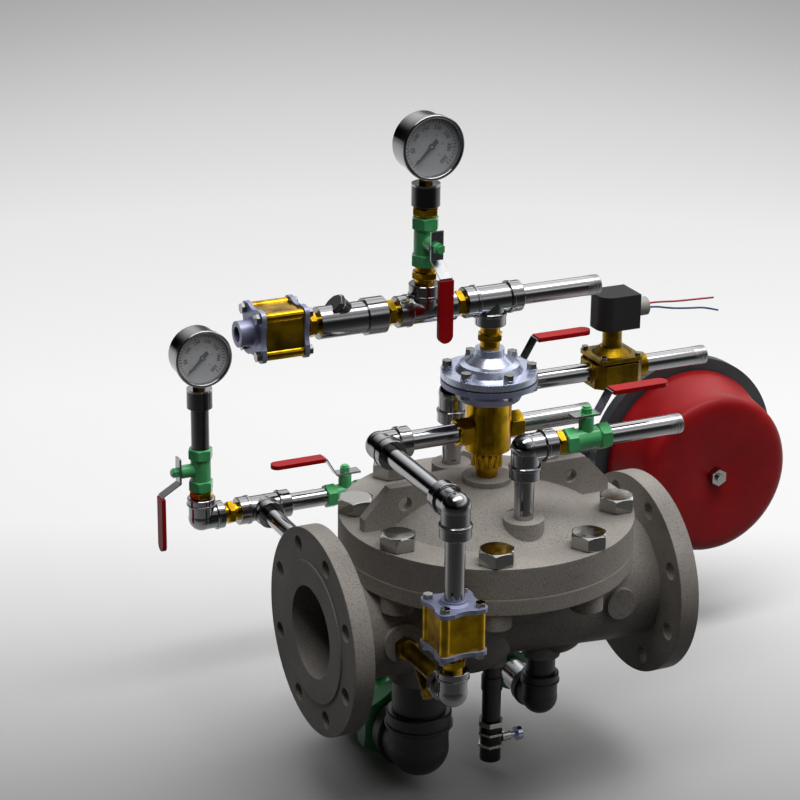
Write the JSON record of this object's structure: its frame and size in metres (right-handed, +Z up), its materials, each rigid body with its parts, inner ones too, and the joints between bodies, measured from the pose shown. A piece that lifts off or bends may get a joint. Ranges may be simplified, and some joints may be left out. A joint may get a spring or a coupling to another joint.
{
  "type": "deluge valve",
  "caption": "Flanged deluge valve with a bolted domed cover, pressure relay, gauges, ball valve trim, solenoid release, drains and water motor gong.",
  "frame": {"origin": "centre of the inlet flange's raised face", "axes": "+X along the waterway from inlet to outlet, +Z up through the cover, -Y towards the front of the trim"},
  "size_m": [0.841, 0.5703, 0.7675],
  "materials": {
    "cast_iron": "cast, satin",
    "bolt_steel": "bright zinc",
    "gasket": "pale fibre",
    "bronze": "machined",
    "inner_steel": "machined",
    "brass": "polished",
    "poppet_brass": "turned",
    "blue_steel": "satin",
    "diaphragm": "smooth",
    "chrome": "bright",
    "green_paint": "gloss",
    "lever_steel": "bright",
    "red_grip": "gloss dip",
    "black_iron": "black paint",
    "gauge_case": "polished",
    "dial": "matt",
    "lens": "clear",
    "pointer": "matt",
    "coil": "moulded",
    "gland": "moulded",
    "red_wire": "insulation",
    "blue_wire": "insulation",
    "gong_red": "gloss",
    "gong_grey": "satin",
    "knob": "turned"
  },
  "bodies": {
    "valve": {"valve_body": "cast_iron", "valve_cover": "cast_iron", "cover_bolts": "bolt_steel", "small_fasteners": "bolt_steel", "cover_gasket": "gasket", "seat_ring": "bronze", "main_spring": "inner_steel", "strainer_screen": "inner_steel", "relay_body": "brass", "hex_nipples": "brass", "check_housings": "brass", "strainer_body": "brass", "strainer_cap": "brass", "solenoid_body": "brass", "relay_bowl": "blue_steel", "relay_bonnet": "blue_steel", "check_end_plates": "blue_steel", "relay_diaphragm": "diaphragm", "trim_pipes": "chrome", "trim_elbows": "chrome", "trim_tees": "chrome", "y_check_body": "chrome", "trim_valve_bodies": "green_paint", "drain_valve_bodies": "green_paint", "drain_pipes": "black_iron", "drip_valve_body": "black_iron", "gauge_cases": "gauge_case", "gauge_dials": "dial", "gauge_lenses": "lens", "solenoid_coil": "coil", "wire_gland": "gland", "red_lead": "red_wire", "blue_lead": "blue_wire", "gong_bell": "gong_red", "gong_bracket": "gong_grey"},
    "air_gauge_handle": {"air_gauge_lever": "lever_steel", "air_gauge_grip": "red_grip"},
    "water_gauge_handle": {"water_gauge_lever": "lever_steel", "water_gauge_grip": "red_grip"},
    "release_handle": {"release_lever": "lever_steel", "release_grip": "red_grip"},
    "solenoid_handle": {"solenoid_lever": "lever_steel", "solenoid_grip": "red_grip"},
    "alarm_test_handle": {"alarm_test_lever": "lever_steel", "alarm_test_grip": "red_grip"},
    "main_drain_handle": {"main_drain_lever": "lever_steel", "main_drain_grip": "red_grip"},
    "side_drain_handle": {"side_drain_lever": "lever_steel", "side_drain_grip": "red_grip"},
    "main_piston": {"main_piston": "inner_steel"},
    "relay_plunger": {"relay_plunger": "inner_steel"},
    "air_check_poppet": {"air_check_poppet": "poppet_brass"},
    "riser_check_poppet": {"riser_check_poppet": "poppet_brass"},
    "y_check_disc": {"y_check_disc": "poppet_brass"},
    "solenoid_core": {"solenoid_core": "inner_steel"},
    "drip_ball": {"drip_ball": "inner_steel"},
    "drip_knob": {"drip_knob": "knob"},
    "air_gauge_pointer": {"air_gauge_pointer": "pointer"},
    "water_gauge_pointer": {"water_gauge_pointer": "pointer"},
    "gong_striker": {"gong_striker": "gong_grey"}
  },
  "joints": [
    {"name": "air_gauge_turn", "type": "hinge", "parent": "valve", "child": "air_gauge_handle", "pos_m": [0.1295, 0, 0.4215], "axis": [0, -1, 0], "range_deg": [0, 90]},
    {"name": "water_gauge_turn", "type": "hinge", "parent": "valve", "child": "water_gauge_handle", "pos_m": [0.006, 0.34, 0.0615], "axis": [-1, 0, 0], "range_deg": [0, 90]},
    {"name": "release_turn", "type": "hinge", "parent": "valve", "child": "release_handle", "pos_m": [0.279, -0.0865, 0.21], "axis": [0, 0, 1], "range_deg": [-90, 0]},
    {"name": "solenoid_turn", "type": "hinge", "parent": "valve", "child": "solenoid_handle", "pos_m": [0.281, 0.0865, 0.213], "axis": [0, 0, 1], "range_deg": [0, 90]},
    {"name": "alarm_test_turn", "type": "hinge", "parent": "valve", "child": "alarm_test_handle", "pos_m": [0.191, 0.34, 0], "axis": [0, 0, 1], "range_deg": [-90, 0]},
    {"name": "main_drain_turn", "type": "hinge", "parent": "valve", "child": "main_drain_handle", "pos_m": [0.13, 0.106, -0.163], "axis": [0, 0, 1], "range_deg": [0, 90]},
    {"name": "side_drain_turn", "type": "hinge", "parent": "valve", "child": "side_drain_handle", "pos_m": [0.281, 0.108, -0.133], "axis": [0, 0, 1], "range_deg": [-90, 0]},
    {"name": "piston_lift", "type": "slide", "parent": "valve", "child": "main_piston", "axis": [0, 0, 1], "range_m": [0, 0.02], "deforming": ["main_spring"]},
    {"name": "relay_lift", "type": "slide", "parent": "valve", "child": "relay_plunger", "axis": [0, 0, 1], "range_m": [0, 0.005]},
    {"name": "air_check_open", "type": "slide", "parent": "valve", "child": "air_check_poppet", "axis": [1, 0, 0], "range_m": [0, 0.006], "stiffness_N_per_m": 60},
    {"name": "riser_check_open", "type": "slide", "parent": "valve", "child": "riser_check_poppet", "axis": [0, 0, 1], "range_m": [0, 0.006]},
    {"name": "y_check_open", "type": "slide", "parent": "valve", "child": "y_check_disc", "axis": [-0.7071, 0, 0.7071], "range_m": [0, 0.005]},
    {"name": "core_lift", "type": "slide", "parent": "valve", "child": "solenoid_core", "axis": [0, 0, 1], "range_m": [0, 0.004]},
    {"name": "drip_ball_rise", "type": "slide", "parent": "valve", "child": "drip_ball", "axis": [0, 0, 1], "range_m": [0, 0.003]},
    {"name": "knob_push", "type": "slide", "parent": "valve", "child": "drip_knob", "axis": [-1, 0, 0], "range_m": [0, 0.004], "stiffness_N_per_m": 80},
    {"name": "air_gauge_reading", "type": "hinge", "parent": "valve", "child": "air_gauge_pointer", "pos_m": [0.1295, -0.017, 0.5242], "axis": [0, 1, 0], "range_deg": [0, 270]},
    {"name": "water_gauge_reading", "type": "hinge", "parent": "valve", "child": "water_gauge_pointer", "pos_m": [0.006, 0.323, 0.2032], "axis": [0, 1, 0], "range_deg": [0, 270]},
    {"name": "striker_spin", "type": "hinge", "parent": "valve", "child": "gong_striker", "pos_m": [0.633, 0.34, 0], "axis": [0, 1, 0], "continuous": true}
  ]
}
